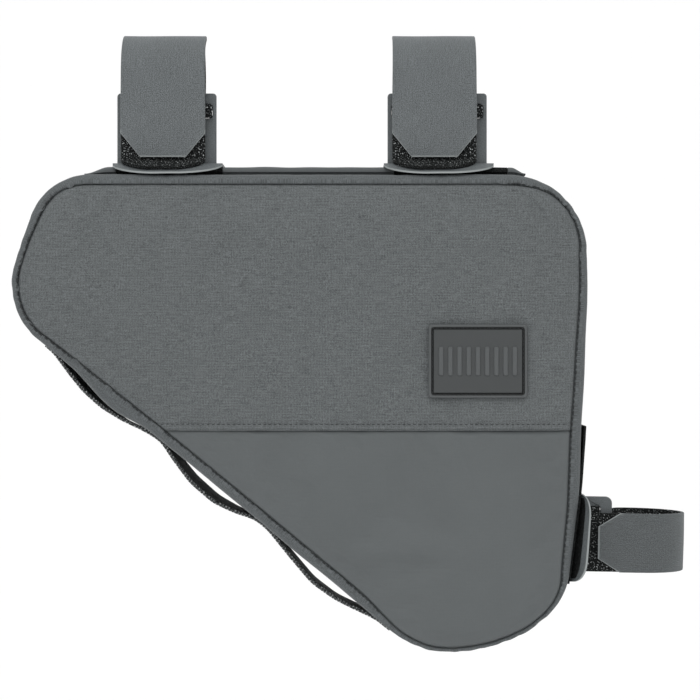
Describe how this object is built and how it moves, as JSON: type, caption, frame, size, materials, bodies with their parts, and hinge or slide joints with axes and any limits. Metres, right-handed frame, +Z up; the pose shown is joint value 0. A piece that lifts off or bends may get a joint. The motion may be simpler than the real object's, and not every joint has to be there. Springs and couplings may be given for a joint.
{
  "type": "bicycle frame bag",
  "caption": "Padded triangular bag for a bicycle frame: hollow body with rounded side wall, domed panels, top pads, webbing and hook-and-loop straps on slotted feet.",
  "frame": {"origin": "on the top tube's axis, midway between the two top strap loops", "axes": "+X along the bag towards the seat tube, -Y out of the front face with the label, +Z up"},
  "size_m": [0.3049, 0.0629, 0.2798],
  "materials": {
    "ripstop_cloth": "matte ripstop weave",
    "coated_cloth": "smooth coated cloth",
    "gusset_cloth": "matte woven cloth",
    "strap_cloth": "matte strap tape",
    "foot_moulding": "satin moulded rubber",
    "hook_cloth": "black hook and loop pile",
    "label_rubber": "matte moulded rubber",
    "webbing_cloth": "woven tape",
    "zip_tape": "woven tape with teeth"
  },
  "bodies": {
    "root": {"back_panel_lower": "ripstop_cloth", "back_panel_upper": "ripstop_cloth", "foot_front": "foot_moulding", "foot_rear": "foot_moulding", "foot_seat": "foot_moulding", "front_panel_lower": "coated_cloth", "front_panel_upper": "ripstop_cloth", "gusset": "gusset_cloth", "label": "label_rubber", "loop_pad_front": "hook_cloth", "loop_pad_rear": "hook_cloth", "loop_patch_seat": "hook_cloth", "strap_front": "strap_cloth", "strap_rear": "strap_cloth", "strap_seat": "strap_cloth", "tab_front": "hook_cloth", "tab_rear": "hook_cloth", "tab_seat": "hook_cloth", "top_pad_middle": "coated_cloth", "top_pad_nose": "coated_cloth", "top_pad_tail": "coated_cloth", "webbing": "webbing_cloth", "zip": "zip_tape"}
  },
  "joints": []
}
